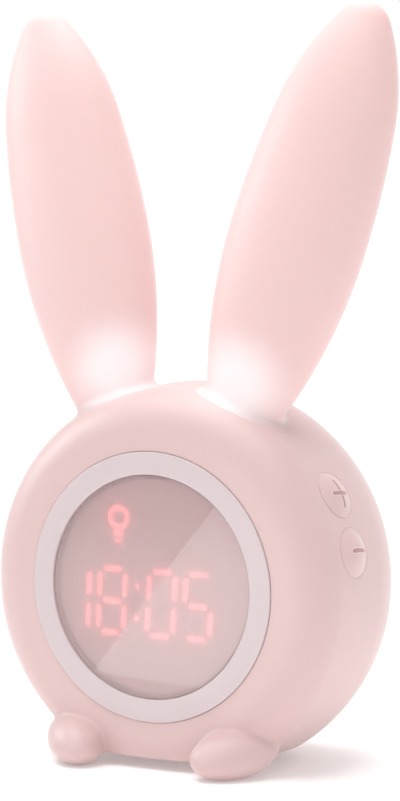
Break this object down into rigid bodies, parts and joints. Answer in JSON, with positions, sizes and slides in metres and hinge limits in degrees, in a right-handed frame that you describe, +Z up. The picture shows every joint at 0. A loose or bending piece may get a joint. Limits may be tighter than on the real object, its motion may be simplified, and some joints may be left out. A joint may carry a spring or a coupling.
{
  "type": "kids alarm clock with night light",
  "caption": "Round bedside alarm clock on two feet, with a display behind a round window, push buttons on both sides and two long hollow ears that glow as a night light.",
  "frame": {"origin": "point of the table under the middle of the case's widest plane, midway between the ears", "axes": "+Z up along the ears, front of the display to -Y, +X to the right of someone who reads it"},
  "size_m": [0.1274, 0.074, 0.2176],
  "materials": {
    "case_plastic": "satin pale pink moulded plastic with a fine texture",
    "ear_silicone": "soft translucent pink silicone, matt",
    "button_plastic": "satin pale pink with thin printed marks",
    "base_rubber": "matt dusty pink",
    "ring_plastic": "semi-gloss pale mauve",
    "lens_plastic": "clear window with a mauve tint",
    "display_plastic": "matt dark mauve face round the light bars",
    "lit_diffuser": "cast diffuser, lit light red",
    "dark_diffuser": "cast diffuser, unlit",
    "white_plastic": "plain white moulding",
    "circuit_board": "green solder mask on glass fibre",
    "component_plastic": "black moulded component bodies",
    "led_lens": "small light with a yellow lens",
    "screw_steel": "zinc-plated steel",
    "battery_wrap": "shrink-wrapped cell",
    "foam": "closed-cell foam",
    "speaker_body": "black frame with a paper cone",
    "socket_steel": "plated shell"
  },
  "bodies": {
    "clock": {"case_shell": "case_plastic", "rear_cover": "case_plastic", "cover_screws": "screw_steel", "base_pad": "base_rubber", "ear_left": "ear_silicone", "ear_right": "ear_silicone", "ear_cup_left": "white_plastic", "ear_cup_right": "white_plastic", "ear_board_left": "circuit_board", "ear_board_right": "circuit_board", "ear_leds": "led_lens", "bezel_ring": "ring_plastic", "lens": "lens_plastic", "display_block": "display_plastic", "lit_bars": "lit_diffuser", "dark_bars": "dark_diffuser", "colon_dots": "lit_diffuser", "lamp_sign": "lit_diffuser", "display_board": "circuit_board", "display_leds": "led_lens", "chassis": "white_plastic", "chassis_screws": "screw_steel", "main_board": "circuit_board", "board_components": "component_plastic", "board_screws": "screw_steel", "battery": "battery_wrap", "battery_pad": "foam", "battery_strap": "white_plastic", "switch_board_left": "circuit_board", "switch_board_right": "circuit_board", "switches_left": "component_plastic", "switches_right": "component_plastic", "speaker": "speaker_body", "speaker_gasket": "foam", "charge_board": "circuit_board", "charge_socket": "socket_steel"},
    "plus_button": {"plus_button": "button_plastic"},
    "minus_button": {"minus_button": "button_plastic"},
    "mode_button": {"mode_button": "button_plastic"},
    "set_button": {"set_button": "button_plastic"}
  },
  "joints": [
    {"name": "plus_press", "type": "slide", "parent": "clock", "child": "plus_button", "axis": [-0.9385, 0, -0.3453], "range_m": [0, 0.0006], "stiffness_N_per_m": 600},
    {"name": "minus_press", "type": "slide", "parent": "clock", "child": "minus_button", "axis": [-0.9385, 0, -0.3453], "range_m": [0, 0.0006], "stiffness_N_per_m": 600},
    {"name": "mode_press", "type": "slide", "parent": "clock", "child": "mode_button", "axis": [0.9385, 0, -0.3453], "range_m": [0, 0.0006], "stiffness_N_per_m": 600},
    {"name": "set_press", "type": "slide", "parent": "clock", "child": "set_button", "axis": [0.9385, 0, -0.3453], "range_m": [0, 0.0006], "stiffness_N_per_m": 600}
  ]
}
